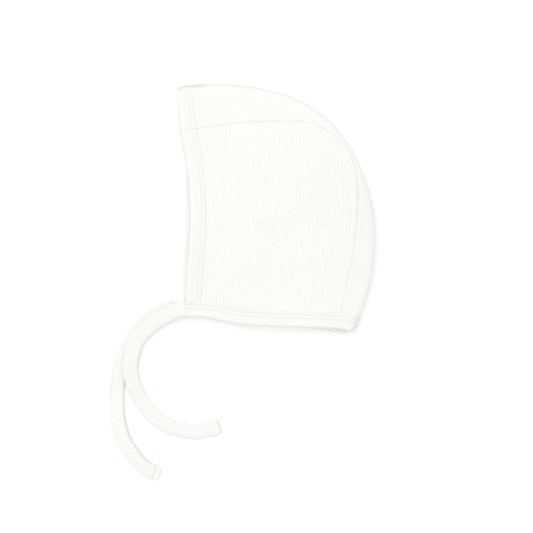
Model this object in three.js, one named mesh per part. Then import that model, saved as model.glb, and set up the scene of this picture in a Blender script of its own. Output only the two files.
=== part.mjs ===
// A ribbed knit baby bonnet, laid flat on its right side.
// It is two side panels, a crown strip between them that runs from the forehead to the nape, a folded binding round
// the face edge, a folded binding round the neck edge, and two flat ties that carry on from the neck binding.
// Millimetres, +Z up. +X points to the back of the head, +Y to its top, +Z to the wearer's left.
// The bonnet lies on z = 0, and the origin is under the middle of its outline, ties left out.
import * as THREE from "three";

// Cloth
const bonnetDepth = 139; // from the face edge to the back
const bonnetHeight = 174; // from the neck edge to the top
const clothWall = 1.2; // rib knit, over its ribs
const bindingWidth = 10.8;
const bindingLeg = 1; // each side of a folded binding
const tieWidth = 10.8;
const tieThickness = 2.6; // four layers of cloth, pressed
const seatGap = 0.3; // left between pieces that touch

// How the bonnet lies
const foldReach = 6; // the crown strip has turned flat this far in from the outline
const cornerOpening = 1.2; // between the bindings of the two layers at the front lower corner
const edgeOpening = 6.2; // between them along the face and neck edges
const crownRise = 12; // how much further apart the layers stand at the back of the crown
const crownRiseReach = 44;
const cornerReach = 62; // the corner opens to the edge opening over this length
const levelMargin = 3; // the cloth stays level this far past a binding
const settleRun = 11; // and comes down to the surface over this length
const riseRun = 34; // the crown rise builds up over this length
const faceLag = 3.8; // how far the lower layer's face edge lies in front of the upper one
const cornerLag = 0.3; // the share of it that is left at the front lower corner
const faceLagRun = 16; // it fades out over this length before the fold
const neckLag = 3.4; // how far the lower layer's neck edge hangs below the upper one near the nape
const neckLagRun = 8;
const ribLean = 6; // how far the ribs lean back between neck and crown, at mid panel

const bindingHalf = clothWall / 2 + seatGap + bindingLeg;
const clothInset = bindingLeg + seatGap; // the cloth ends this far inside a binding's outer edge
const cornerLoft = 2 * bindingHalf + cornerOpening;
const edgeLoft = 2 * bindingHalf + edgeOpening;

// Plan tables, as shares: back runs from 0 at the face to 1 at the back of the outline, up from 0 at the neck to 1.
// A row is a section across the crown strip, from the forehead to the nape: its fold, and its seam to the side panel.
const crownSections = [
  { foldBack: 0.0, foldUp: 0.978, seamBack: 0.04, seamUp: 0.812 },
  { foldBack: 0.191, foldUp: 1.0, seamBack: 0.201, seamUp: 0.83 },
  { foldBack: 0.383, foldUp: 0.988, seamBack: 0.372, seamUp: 0.846 },
  { foldBack: 0.571, foldUp: 0.949, seamBack: 0.534, seamUp: 0.846 },
  { foldBack: 0.74, foldUp: 0.873, seamBack: 0.699, seamUp: 0.834 },
  { foldBack: 0.866, foldUp: 0.755, seamBack: 0.854, seamUp: 0.74 },
  { foldBack: 0.948, foldUp: 0.616, seamBack: 0.908, seamUp: 0.612 },
  { foldBack: 0.993, foldUp: 0.464, seamBack: 0.908, seamUp: 0.458 },
  { foldBack: 0.995, foldUp: 0.309, seamBack: 0.889, seamUp: 0.318 },
  { foldBack: 0.962, foldUp: 0.156, seamBack: 0.855, seamUp: 0.178 },
  { foldBack: 0.888, foldUp: 0.007, seamBack: 0.817, seamUp: 0.019 },
];
// The face edge from the front lower corner up to the crown seam.
const faceEdgeRows = [
  { back: 0.045, up: 0.065 },
  { back: 0.052, up: 0.214 },
  { back: 0.068, up: 0.384 },
  { back: 0.07, up: 0.536 },
  { back: 0.059, up: 0.705 },
  { back: 0.04, up: 0.812 },
];
// The neck edge from the front lower corner back to the crown seam.
const neckEdgeRows = [
  { back: 0.045, up: 0.065 },
  { back: 0.15, up: 0.062 },
  { back: 0.26, up: 0.043 },
  { back: 0.4, up: 0.031 },
  { back: 0.6, up: 0.025 },
  { back: 0.817, up: 0.019 },
];
// Where along the seam, from 0 at the forehead to 1 at the nape, the top and bottom of the panel's back side are.
const panelBackTop = 0.53;
const panelBackBottom = 0.82;

// Facets
const crownSteps = 60;
const crownFoldSteps = 8;
const crownFlatSteps = 2;
const panelColumns = 17;
const panelBackColumns = 4;
const panelRows = 17;
const edgeSteps = 18;
const tieSteps = 34;
const lineSamples = 240;

const steps = (count) => Array.from({ length: count + 1 }, (_, k) => k / count);
const smooth = (t) => THREE.MathUtils.smoothstep(t, 0, 1);
const mix = THREE.MathUtils.lerp;
const planPoint = (back, up) =>
  new THREE.Vector3((back - 0.5) * bonnetDepth, (up - 0.5) * bonnetHeight, 0);
const curveThrough = (points) => new THREE.CatmullRomCurve3(points, false, "catmullrom", 0.5);

const foldCurve = curveThrough(crownSections.map((r) => planPoint(r.foldBack, r.foldUp)));
const seamCurve = curveThrough(crownSections.map((r) => planPoint(r.seamBack, r.seamUp)));
const faceCurve = curveThrough(faceEdgeRows.map((r) => planPoint(r.back, r.up)));
const neckCurve = curveThrough(neckEdgeRows.map((r) => planPoint(r.back, r.up)));
const frontCorner = faceCurve.getPoint(0);
const crownCorner = foldCurve.getPoint(0.5); // the middle of the crown rise

// Points evenly spread over a stretch of a curve, at its own parameter.
function sampled(curve, from, to, count) {
  return Array.from({ length: count + 1 }, (_, k) => curve.getPoint(mix(from, to, k / count)));
}

// The value of one coordinate of a line, where another coordinate that only grows along it has a given value.
function valueOn(line, along, value, wanted) {
  let k = 1;
  while (k < line.length - 1 && line[k][along] < value) k += 1;
  const run = line[k][along] - line[k - 1][along];
  const share = run === 0 ? 0 : (value - line[k - 1][along]) / run;
  return mix(line[k - 1][wanted], line[k][wanted], share);
}

const foldLine = sampled(foldCurve, 0, 1, lineSamples);
const faceLine = [...sampled(faceCurve, 0, 1, lineSamples), foldCurve.getPoint(0)];
const neckLine = [...sampled(neckCurve, 0, 1, lineSamples), foldCurve.getPoint(1)];

function distanceToFold(x, y) {
  return Math.min(...foldLine.map((p) => Math.hypot(p.x - x, p.y - y)));
}

// How far a plan point is inside the nearer of the face and neck edges.
function insideEdges(x, y) {
  return Math.min(x - valueOn(faceLine, "y", y, "x"), y - valueOn(neckLine, "x", x, "y"));
}

// The middle of the cloth of both layers at a plan point, away from the fold.
function layerLevels(x, y) {
  const pastBinding = insideEdges(x, y) - bindingWidth - levelMargin;
  const lower = clothWall / 2 + clothInset * (1 - smooth(pastBinding / settleRun));
  const fromCorner = Math.hypot(x - frontCorner.x, y - frontCorner.y) / cornerReach;
  const fromCrown = Math.hypot(x - crownCorner.x, y - crownCorner.y) / crownRiseReach;
  const rise = crownRise * Math.exp(-0.5 * fromCrown ** 2) * smooth(pastBinding / riseRun);
  const upper = clothInset + clothWall / 2 + mix(cornerLoft, edgeLoft, smooth(fromCorner)) + rise;
  return { lower, upper };
}

// The lower layer lies a little in front of and below the upper one, except at the fold, which they share.
function laidShift(x, y, side, fromFold) {
  if (side > 0) return new THREE.Vector3();
  const back = x / bonnetDepth + 0.5;
  const up = y / bonnetHeight + 0.5;
  const forward = faceLag * mix(cornerLag, 1, smooth((up - 0.1) / 0.25)) * smooth(1 - back);
  const down = neckLag * smooth(1 - up) * smooth((back - 0.6) / 0.3);
  return new THREE.Vector3(-forward * smooth(fromFold / faceLagRun), -down * smooth(fromFold / neckLagRun), 0);
}

// The middle of the cloth: side is 1 on the upper layer and -1 on the lower one. turn is 0 at the fold and 1 where the
// cloth lies flat, and follows from the distance to the fold where it isn't given.
function clothPoint(x, y, side, turn) {
  const fromFold = distanceToFold(x, y);
  const { lower, upper } = layerLevels(x, y);
  const flat = turn ?? Math.sqrt(1 - (1 - Math.min(fromFold / foldReach, 1)) ** 2);
  const z = (upper + lower) / 2 + (side * flat * (upper - lower)) / 2;
  return laidShift(x, y, side, fromFold).add(new THREE.Vector3(x, y, z));
}

// The crown strip's section at a place along it. sweep runs from 1 at the upper seam over 0 at the fold to -1 at the
// lower seam, and turnShare of it is the round of the fold.
const turnShare = 0.5;
function crownPoint(along, sweep, trim) {
  const fold = foldCurve.getPoint(along);
  const across = seamCurve.getPoint(along).sub(fold);
  const width = across.length() - trim;
  const round = Math.min(foldReach, width);
  const angle = Math.acos(1 - round / foldReach) * Math.min(Math.abs(sweep) / turnShare, 1);
  const flatShare = Math.max((Math.abs(sweep) - turnShare) / (1 - turnShare), 0);
  const distance = foldReach * (1 - Math.cos(angle)) + flatShare * (width - round);
  const place = fold.addScaledVector(across.normalize(), distance);
  return clothPoint(place.x, place.y, Math.sign(sweep) || 1, Math.sin(angle));
}

const seamWith = (trim, along) => {
  const fold = foldCurve.getPoint(along);
  const across = seamCurve.getPoint(along).sub(fold);
  return fold.addScaledVector(across.clone().normalize(), across.length() + trim);
};

// Side panel: a patch between the face edge, the neck edge and the crown seam, whose columns follow the ribs.
const halfGap = seatGap / 2;
const crownInset = clothInset / foldCurve.getLength();
const seamTop = Array.from({ length: lineSamples + 1 }, (_, k) =>
  seamWith(halfGap, (panelBackTop * k) / lineSamples),
);
const seamLow = Array.from({ length: lineSamples + 1 }, (_, k) =>
  seamWith(halfGap, mix(1 - crownInset, panelBackBottom, k / lineSamples)),
);
const neckInset = sampled(neckCurve, 0, 1, lineSamples).map((p) => p.setY(p.y + clothInset));
const panelFoot = [...neckInset.filter((p) => p.x < seamLow[0].x), ...seamLow];
const faceX = (y) => valueOn(faceLine, "y", y, "x") + clothInset;

const footStart = new THREE.Vector3(faceX(neckInset[0].y), neckInset[0].y, 0);
const headStart = seamTop[0].clone().setX(faceX(seamTop[0].y));
const footEnd = seamLow[lineSamples];
const headEnd = seamTop[lineSamples];
const footTurn = (seamLow[0].x - footStart.x) / (footEnd.x - footStart.x);

function panelPlan(s, t) {
  const footX = mix(footStart.x, footEnd.x, s);
  const headX = mix(headStart.x, headEnd.x, s) + ribLean * 4 * s * (1 - s);
  const foot = new THREE.Vector3(footX, valueOn(panelFoot, "x", footX, "y"), 0);
  const head = new THREE.Vector3(headX, valueOn(seamTop, "x", headX, "y"), 0);
  const place = foot.clone().lerp(head, t);
  const frontY = mix(footStart.y, headStart.y, t);
  const frontBow = faceX(frontY) - mix(footStart.x, headStart.x, t);
  const back = seamWith(halfGap, mix(panelBackBottom, panelBackTop, t));
  const backBow = back.sub(footEnd.clone().lerp(headEnd, t));
  place.x += frontBow * (1 - s) ** 2;
  return place.addScaledVector(backBow, s ** 4);
}

function panelPoint(s, t, side) {
  const { x, y } = panelPlan(s, t);
  return clothPoint(x, y, side);
}

// The direction across the cloth at a place on a side panel, from how the layer rises around it.
function acrossPanel(s, t, side) {
  const { x, y } = panelPlan(s, t);
  const step = 0.2;
  const alongX = clothPoint(x + step, y, side).sub(clothPoint(x - step, y, side));
  const alongY = clothPoint(x, y + step, side).sub(clothPoint(x, y - step, side));
  return alongX.cross(alongY).normalize();
}

// Bindings: a place along the edge, a distance in from it, and a height off the middle of the cloth.
// The edge runs up the upper layer, over the fold in the crown strip, and back down the lower layer, a third each.
function edgePlace(curve, curveFrom, crownEnd, share, inward) {
  if (share >= 1 / 3 && share <= 2 / 3) {
    const inFoldLength = inward / foldCurve.getLength();
    return crownPoint(Math.abs(crownEnd - inFoldLength), 3 - 6 * share, 0);
  }
  const side = share < 0.5 ? 1 : -1;
  const onCurve = mix(curveFrom, 1, 3 * Math.min(share, 1 - share));
  const edge = curve.getPoint(onCurve);
  const tangent = curve.getTangent(onCurve);
  const inX = crownEnd === 0 ? tangent.y : -tangent.y;
  const inY = crownEnd === 0 ? -tangent.x : tangent.x;
  return clothPoint(edge.x + inX * inward, edge.y + inY * inward, side);
}

// A closed mesh from vertices and triangles, with its faces turned outwards.
function closedGeometry(vertices, triangles) {
  let volume = 0;
  for (const [a, b, c] of triangles)
    volume += vertices[a].dot(vertices[b].clone().cross(vertices[c]));
  const order = volume < 0 ? triangles.map(([a, b, c]) => [a, c, b]) : triangles;
  const geometry = new THREE.BufferGeometry();
  geometry.setAttribute("position", new THREE.Float32BufferAttribute(vertices.flatMap((v) => v.toArray()), 3));
  geometry.setIndex(order.flat());
  geometry.computeVertexNormals();
  return geometry;
}

// The direction across a surface over the unit square at one of its points, from small steps to both sides.
function acrossSurface(surface, s, t) {
  const step = 1e-3;
  const span = (a, b) => b.sub(a);
  const alongS = span(surface(Math.max(s - step, 0), t), surface(Math.min(s + step, 1), t));
  const alongT = span(surface(s, Math.max(t - step, 0)), surface(s, Math.min(t + step, 1)));
  return alongS.cross(alongT).normalize();
}

// A wall of even thickness about a surface over the unit square, given with the direction across it.
function wallGeometry(surface, across, columns, rows) {
  const faces = [1, -1].map((face) =>
    columns.flatMap((s) => rows.map((t) => surface(s, t).addScaledVector(across(s, t), (face * clothWall) / 2))),
  );
  const vertices = faces.flat();
  const triangles = [];
  const quad = (a, b, c, d) => {
    const acIsShorter = vertices[a].distanceTo(vertices[c]) < vertices[b].distanceTo(vertices[d]);
    triangles.push(...(acIsShorter ? [[a, b, c], [a, c, d]] : [[a, b, d], [b, c, d]]));
  };
  const under = columns.length * rows.length;
  const at = (i, j) => i * rows.length + j;
  for (let i = 0; i < columns.length - 1; i++)
    for (let j = 0; j < rows.length - 1; j++) {
      quad(at(i, j), at(i + 1, j), at(i + 1, j + 1), at(i, j + 1));
      quad(under + at(i, j), under + at(i, j + 1), under + at(i + 1, j + 1), under + at(i + 1, j));
    }
  const rim = [
    ...columns.map((_, i) => at(i, 0)),
    ...rows.map((_, j) => at(columns.length - 1, j)).slice(1),
    ...columns.map((_, i) => at(i, rows.length - 1)).reverse().slice(1),
    ...rows.map((_, j) => at(0, j)).reverse().slice(1),
  ];
  for (let k = 0; k < rim.length - 1; k++) quad(rim[k + 1], rim[k], under + rim[k], under + rim[k + 1]);
  return closedGeometry(vertices, triangles);
}

// A section carried through stations, with a flat cap at each end.
function sweptGeometry(section, stations, place) {
  const vertices = stations.flatMap((station) => section.map((p) => place(station, p)));
  const triangles = [];
  const n = section.length;
  for (let k = 0; k < stations.length - 1; k++)
    for (let j = 0; j < n; j++) {
      const next = (j + 1) % n;
      const a = k * n + j;
      const b = k * n + next;
      triangles.push([a, b, b + n], [a, b + n, a + n]);
    }
  const cap = THREE.ShapeUtils.triangulateShape(section, []);
  const last = (stations.length - 1) * n;
  for (const [a, b, c] of cap) triangles.push([a, c, b], [last + a, last + b, last + c]);
  return closedGeometry(vertices, triangles);
}

// The folded section of a binding: x is the distance in from its outer edge, y the height off the cloth's middle.
function bindingSection() {
  const slot = clothWall / 2 + seatGap;
  const outer = [
    [bindingWidth, bindingHalf],
    [bindingWidth / 2, bindingHalf],
    [bindingLeg, bindingHalf],
    [bindingLeg * 0.3, bindingHalf * 0.7],
    [0, 0],
    [bindingLeg * 0.3, -bindingHalf * 0.7],
    [bindingLeg, -bindingHalf],
    [bindingWidth / 2, -bindingHalf],
    [bindingWidth, -bindingHalf],
  ];
  const inner = [
    [bindingWidth, -slot],
    [bindingWidth / 2, -slot],
    [bindingLeg, -slot],
    [bindingLeg, slot],
    [bindingWidth / 2, slot],
    [bindingWidth, slot],
  ];
  return [...outer, ...inner].map(([x, y]) => new THREE.Vector2(x, y));
}

// Shares across the crown strip, closer together round its fold, and the stations of a binding that match them.
const crownHalf = [
  ...steps(crownFlatSteps).slice(0, -1).map((t) => t * 0.25),
  ...steps(crownFoldSteps / 2).map((t) => mix(0.25, 0.5, t)),
];
const crownRowShares = [...crownHalf, ...crownHalf.slice(0, -1).map((t) => 1 - t).reverse()];
const bindingStations = [
  ...steps(edgeSteps).map((t) => t / 3),
  ...crownRowShares.slice(1).map((t) => (1 + t) / 3),
  ...steps(edgeSteps).slice(1).map((t) => (2 + t) / 3),
];

function bindingGeometry(curve, curveFrom, crownEnd) {
  const surface = (share, inShare) => edgePlace(curve, curveFrom, crownEnd, share, inShare * bindingWidth);
  return sweptGeometry(bindingSection(), bindingStations, (share, p) => {
    const inShare = p.x / bindingWidth;
    return surface(share, inShare).addScaledVector(acrossSurface(surface, share, inShare), p.y);
  });
}

// The ties carry on from the two ends of the neck binding. A row is a point of a tie's middle line, from the middle of
// the binding's end in plan and from the surface in height, and how the tie is turned about that line, in degrees.
const onSurface = tieThickness / 2;
const onOtherTie = tieThickness * 1.5 + seatGap;
const startLevel = clothWall / 2 + clothInset;
const leftTieRoute = [
  { x: 0, y: 0, z: startLevel + cornerLoft, roll: 0 },
  { x: -8.8, y: -2.3, z: 5.4, roll: 0 },
  { x: -18.4, y: -7.2, z: onOtherTie, roll: 0 },
  { x: -25.2, y: -12.3, z: onOtherTie, roll: 0 },
  { x: -30.8, y: -17.9, z: onOtherTie, roll: 0 },
  { x: -35.1, y: -25.1, z: onOtherTie, roll: 0 },
  { x: -37.8, y: -34.5, z: onOtherTie, roll: -3 },
  { x: -38.3, y: -42.8, z: onOtherTie, roll: -9 },
  { x: -36.3, y: -52.2, z: 3.9, roll: -9 },
  { x: -32.4, y: -61.1, z: 2, roll: 0 },
  { x: -25.8, y: -70.9, z: onSurface, roll: 0 },
  { x: -17.9, y: -78.3, z: onSurface, roll: 0 },
  { x: -7.3, y: -83.6, z: onSurface, roll: 0 },
  { x: 4.1, y: -85.7, z: onSurface, roll: 0 },
  { x: 13.8, y: -85.2, z: onSurface, roll: 0 },
  { x: 24.6, y: -81.9, z: onSurface, roll: 0 },
];
const rightTieRoute = [
  { x: 0, y: 0, z: startLevel, roll: 0 },
  { x: -10.1, y: 0.4, z: 1.5, roll: 0 },
  { x: -17.7, y: -2.7, z: onSurface, roll: 0 },
  { x: -23.8, y: -7.1, z: onSurface, roll: 0 },
  { x: -29.2, y: -12.1, z: onSurface, roll: 0 },
  { x: -34.1, y: -18.5, z: onSurface, roll: 0 },
  { x: -37.9, y: -25.9, z: onSurface, roll: 0 },
  { x: -41.5, y: -33.6, z: onSurface, roll: 0 },
  { x: -44.1, y: -41.8, z: onSurface, roll: 0 },
  { x: -45.9, y: -50.2, z: onSurface, roll: 0 },
  { x: -46.7, y: -58.7, z: onSurface, roll: 3 },
  { x: -46.9, y: -67.2, z: onSurface, roll: 8 },
  { x: -46.4, y: -76.5, z: onSurface, roll: 11 },
  { x: -44.8, y: -84.6, z: onSurface, roll: 12 },
  { x: -42.0, y: -91.8, z: onSurface, roll: 12 },
  { x: -37.5, y: -99.2, z: onSurface, roll: 12 },
  { x: -32.1, y: -106.8, z: onSurface, roll: 11 },
  { x: -25.6, y: -112.3, z: onSurface, roll: 6 },
  { x: -16.9, y: -115.7, z: onSurface, roll: 0 },
];

// The flat section of a tie, its long edges rounded off.
function tieSection() {
  const w = tieWidth / 2;
  const h = tieThickness / 2;
  const corner = [
    [w, h * 0.5],
    [w - h, h],
  ];
  const top = [...corner, ...corner.map(([x, y]) => [-x, y]).reverse()];
  const ring = [...top, ...top.map(([x, y]) => [-x, -y])];
  return ring.map(([x, y]) => new THREE.Vector2(x, y));
}

// A tie starts a seat gap past the binding's end, along the way that the neck edge runs there.
function tieGeometry(route, side) {
  const end = clothPoint(frontCorner.x, frontCorner.y + bindingWidth / 2, side);
  const leaving = neckCurve.getTangent(0).multiplyScalar(-1);
  const start = new THREE.Vector3(end.x, end.y, 0).addScaledVector(leaving, seatGap);
  const bend = start.clone().addScaledVector(leaving, tieWidth / 3);
  const points = route.map((r) => new THREE.Vector3(r.x + start.x, r.y + start.y, r.z));
  points.splice(1, 0, bend.setZ(points[0].z));
  const line = curveThrough(points);
  const rolls = curveThrough([route[0], ...route].map((r) => new THREE.Vector3(r.roll, 0, 0)));
  const up = new THREE.Vector3(0, 0, 1);
  return sweptGeometry(tieSection(), steps(tieSteps), (along, p) => {
    const ahead = line.getTangent(along);
    const turn = THREE.MathUtils.degToRad(rolls.getPoint(along).x);
    const across = up.clone().cross(ahead).normalize().applyAxisAngle(ahead, turn);
    const off = ahead.clone().cross(across);
    const place = line.getPoint(along);
    place.z = Math.max(place.z, onSurface + (Math.abs(Math.sin(turn)) * tieWidth) / 2);
    place.addScaledVector(across, p.x).addScaledVector(off, p.y);
    return place.setZ(Math.max(place.z, 0));
  });
}

// Pieces
const ribKnit = () => new THREE.MeshStandardMaterial({ color: 0xf6f5ee, roughness: 0.95, metalness: 0 });
const bonnet = new THREE.Group();

function addPiece(name, geometry) {
  const mesh = new THREE.Mesh(geometry, ribKnit());
  mesh.name = name;
  bonnet.add(mesh);
}

const panelColumnShares = [
  ...steps(panelColumns).map((s) => s * footTurn),
  ...steps(panelBackColumns).slice(1).map((s) => mix(footTurn, 1, s)),
];
const panelRowShares = steps(panelRows).map((t) => mix(t, Math.sin((t * Math.PI) / 2), 0.5));
function sidePanelGeometry(side) {
  const surface = (s, t) => panelPoint(s, t, side);
  const across = (s, t) => acrossPanel(s, t, side);
  return wallGeometry(surface, across, panelColumnShares, panelRowShares);
}
addPiece("side_panel_left", sidePanelGeometry(1));
addPiece("side_panel_right", sidePanelGeometry(-1));

const crownSurface = (s, t) => crownPoint(mix(crownInset, 1 - crownInset, s), 1 - 2 * t, halfGap);
const acrossCrown = (s, t) => acrossSurface(crownSurface, s, t);
addPiece("crown_strip", wallGeometry(crownSurface, acrossCrown, steps(crownSteps), crownRowShares));

const faceStart = (bindingWidth + 2 * seatGap) / faceCurve.getLength();
addPiece("face_binding", bindingGeometry(faceCurve, faceStart, 0));
addPiece("neck_binding", bindingGeometry(neckCurve, 0, 1));

// The origin goes under the middle of the bonnet, before the ties are added.
const outline = new THREE.Box3().setFromObject(bonnet, true);
const middle = outline.getCenter(new THREE.Vector3());
bonnet.position.set(-middle.x, -middle.y, -outline.min.z);

addPiece("tie_left", tieGeometry(leftTieRoute, 1));
addPiece("tie_right", tieGeometry(rightTieRoute, -1));

export default bonnet;
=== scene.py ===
import bpy
import numpy as np
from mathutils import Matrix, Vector


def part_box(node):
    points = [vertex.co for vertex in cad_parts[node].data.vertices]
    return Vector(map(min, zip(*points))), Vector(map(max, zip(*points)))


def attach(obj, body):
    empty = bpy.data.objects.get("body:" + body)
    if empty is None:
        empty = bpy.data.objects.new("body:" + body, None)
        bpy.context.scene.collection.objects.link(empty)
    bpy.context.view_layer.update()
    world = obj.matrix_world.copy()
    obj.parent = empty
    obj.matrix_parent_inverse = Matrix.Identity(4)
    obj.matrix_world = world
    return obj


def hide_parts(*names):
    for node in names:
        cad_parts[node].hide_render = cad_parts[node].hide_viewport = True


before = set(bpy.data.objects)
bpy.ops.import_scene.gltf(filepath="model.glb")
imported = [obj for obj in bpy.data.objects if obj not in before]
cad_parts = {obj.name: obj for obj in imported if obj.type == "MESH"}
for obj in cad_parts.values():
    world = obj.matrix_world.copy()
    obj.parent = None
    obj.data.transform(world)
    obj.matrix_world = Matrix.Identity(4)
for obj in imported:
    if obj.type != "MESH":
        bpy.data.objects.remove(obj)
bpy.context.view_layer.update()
print("frame loaded:", ", ".join(sorted(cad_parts)))

mm = 0.001
hairGap = 0.02 * mm  # between cloths that meet, and between the cloth and the surface
nudge = 1e-4  # of a curve, to find its direction
placesAtATime = 8192  # keeps the tables of nearestOnLine small
bonnet = {
    "depth": 139 * mm,  # face edge to the back of the outline
    "height": 174 * mm,  # neck edge to the top
    "cloth": 1.2 * mm,
    "bindingWidth": 10.8 * mm,
    "bindingLeg": 1 * mm,
    "seatGap": 0.3 * mm,
    "foldReach": 6.6 * mm,  # the strip has turned flat this far in from the outline
    "foldSquareness": 2.7,  # 2 is a round fold, and more a squarer one
    "cornerOpening": 1.2 * mm,  # between the layers' bindings at the front lower corner
    "edgeOpening": 6.2 * mm,  # and further along the edges
    "cornerReach": 62 * mm,
    "curl": 0.6,  # the lower layer's edges curl up by this share of the opening
    "curlRun": 15 * mm,
    "curlStop": (0.28, 0.14),  # shares of the depth behind its middle: it fades from one, over the other
    "crownRise": 12 * mm,
    "crownRiseReach": 44 * mm,
    "levelMargin": 3 * mm,
    "settleRun": 11 * mm,
    "riseRun": 34 * mm,
    "faceLag": 3.2 * mm,  # the lower layer lies this far in front of the upper one
    "faceLagRun": 28 * mm,
    "cornerLag": 0.356,  # the share of it at the front lower corner
    "cornerLagEnd": (0.065, 0.2),  # shares of the height: it grows to the whole from one, over the other
    "browCatch": 0.5,  # the share that the seam holds back near the brow
    "browCatchStart": (0.54, 0.14),
    "browRise": 1.5 * mm,  # the fold stands up where the face binding is sewn to it
    "browMiddle": 0.09,  # shares of the depth
    "browReach": 0.055,
    "browRun": 14 * mm,
    "neckLag": 3.4 * mm,  # the lower layer hangs this far below the upper one near the nape
    "neckLagStart": (0.6, 0.3),
    "neckLagRun": 8 * mm,
    "ribLean": 6 * mm,  # the ribs' tops bow back by this at the middle of the panel
    "panelBackTop": 0.53,  # shares of the seam between which the panel's back edge lies
    "panelBackBottom": 0.82,
}
knit = {
    "ribPitch": 1.75 * mm,
    "ribFullness": 0.7,  # less makes the ribs fuller and their valleys narrower
    "coursePitch": 1.35 * mm,
    "ivory": (0.71, 0.72, 0.672, 1),
    "warmIvory": (0.71, 0.714, 0.665, 1),
    "neckIvory": (0.712, 0.707, 0.659, 1),
    # painted shade in the rib valleys
    "valleyShade": (0.61, 0.6, 0.545, 1),
    "rim": (0.5, 0.49, 0.43, 1),  # painted shade where the cloth turns away at an outline, and along seams, stitch rows and hems
    "faceInsideGlow": (0.88, 0.875, 0.775, 1),  # painted light, for light that comes through the cloth into the gap between layers
    # painted light, warm, for light that comes through the cloth into the gap at the nape
    "neckInsideGlow": (0.83, 0.77, 0.58, 1),
}

# Rows across the crown strip from forehead to nape, as shares of depth and height: the fold and the seam.
crownShares = {
    "foldBack": [0.0, 0.191, 0.383, 0.571, 0.74, 0.866, 0.948, 0.993, 0.995, 0.962, 0.888],
    "foldUp": [0.978, 1.0, 0.988, 0.949, 0.873, 0.755, 0.616, 0.464, 0.309, 0.156, 0.007],
    "seamBack": [0.026, 0.201, 0.372, 0.534, 0.699, 0.854, 0.908, 0.908, 0.889, 0.855, 0.817],
    "seamUp": [0.812, 0.83, 0.846, 0.846, 0.834, 0.74, 0.612, 0.458, 0.318, 0.178, 0.019],
}
# The face edge from the front lower corner up to the seam, and the neck edge from that corner to the back.
edgeShares = {
    "faceBack": [0.045, 0.052, 0.068, 0.07, 0.049, 0.026],
    "faceUp": [0.065, 0.214, 0.384, 0.536, 0.705, 0.812],
    "neckBack": [0.045, 0.15, 0.26, 0.4, 0.6, 0.817],
    "neckUp": [0.065, 0.062, 0.043, 0.031, 0.025, 0.019],
}


def planCurve(back, up):
    # Shares of the depth and the height made places in plan, from the middle of the bonnet.
    x = (np.array(back) - 0.5) * bonnet["depth"]
    y = (np.array(up) - 0.5) * bonnet["height"]
    return np.stack([x, y], axis=-1)


def alongCurve(points, t):
    # Uniform Catmull-Rom: each stretch leaves a point along half the step between its neighbours.
    points = np.asarray(points, float)
    last = len(points) - 1
    around = np.vstack([2 * points[0] - points[1], points, 2 * points[-1] - points[-2]])
    place = np.clip(t, 0, 1) * last
    k = np.minimum(place.astype(int), last - 1)
    f = (place - k)[..., None]
    a, b, c, d = (around[k + j] for j in range(4))
    return 0.5 * (2 * b + (c - a) * f + (2 * a - 5 * b + 4 * c - d) * f**2 + (3 * b - a - 3 * c + d) * f**3)


def curveLength(points):
    line = alongCurve(points, np.linspace(0, 1, 400))
    return np.linalg.norm(np.diff(line, axis=0), axis=1).sum()


def valueOn(line, along, value, wanted):
    # One coordinate of a line where another has a value, carried on straight past both ends.
    k = np.clip(np.searchsorted(line[:, along], value), 1, len(line) - 1)
    share = (value - line[k - 1, along]) / (line[k, along] - line[k - 1, along])
    return line[k - 1, wanted] + share * (line[k, wanted] - line[k - 1, wanted])


def smooth(t):
    t = np.clip(t, 0, 1)
    return t * t * (3 - 2 * t)


def ramp(value, start, run):
    # 0 up to the start, 1 from a run past it, and smooth between them.
    return smooth((value - start) / run)


def near(distance, reach):
    # A bell: 1 at no distance, about a third at the reach and next to nothing at twice that.
    return np.exp(-((distance / reach) ** 2))


def fade(distance, reach):
    # 1 at no distance, and about a third of that after each reach.
    return np.exp(-distance / reach)


def quarterRound(distance, reach, least=0):
    # The height of a quarter circle that is full at the reach, taken no nearer than the least share of it.
    return np.sqrt(1 - (1 - np.clip(distance / reach, least, 1)) ** 2)


def squared(value, power):
    # A sine or cosine whose circle is made squarer, as its power is less than 1.
    return np.sign(value) * np.abs(value) ** power


def unit(v):
    return v / np.maximum(np.linalg.norm(v, axis=-1, keepdims=True), 1e-12)


def runOf(line):
    # The length of a line up to each of its points.
    return np.append(0, np.cumsum(np.linalg.norm(np.diff(line, axis=0), axis=1)))


def nearestOnLine(line, x, y):
    # The least distance from each place to the points of a line, and the share of the line where it is, a
    # block of places at a time.
    flatX, flatY = np.ravel(x), np.ravel(y)
    least = np.empty(len(flatX))
    share = np.empty(len(flatX))
    for start in range(0, len(flatX), placesAtATime):
        part = slice(start, start + placesAtATime)
        dx = flatX[part, None] - line[:, 0]
        dy = flatY[part, None] - line[:, 1]
        squares = dx * dx + dy * dy
        nearest = squares.argmin(axis=1)
        least[part] = np.sqrt(squares[np.arange(len(nearest)), nearest])
        share[part] = nearest / (len(line) - 1)
    return least.reshape(np.shape(x)), share.reshape(np.shape(x))


def waves(seed, shortest, longest, count=7):
    # A sum of plane waves in random directions, evened to about -1 to 1.
    dice = np.random.default_rng(seed)
    lengths = dice.uniform(shortest, longest, count)
    angles = dice.uniform(0, np.pi, count)
    phases = dice.uniform(0, 2 * np.pi, count)

    def field(x, y):
        total = 0
        for length, angle, phase in zip(lengths, angles, phases):
            total = total + np.sin(2 * np.pi * (x * np.cos(angle) + y * np.sin(angle)) / length + phase)
        return total / np.sqrt(2 * count)

    return field


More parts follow.
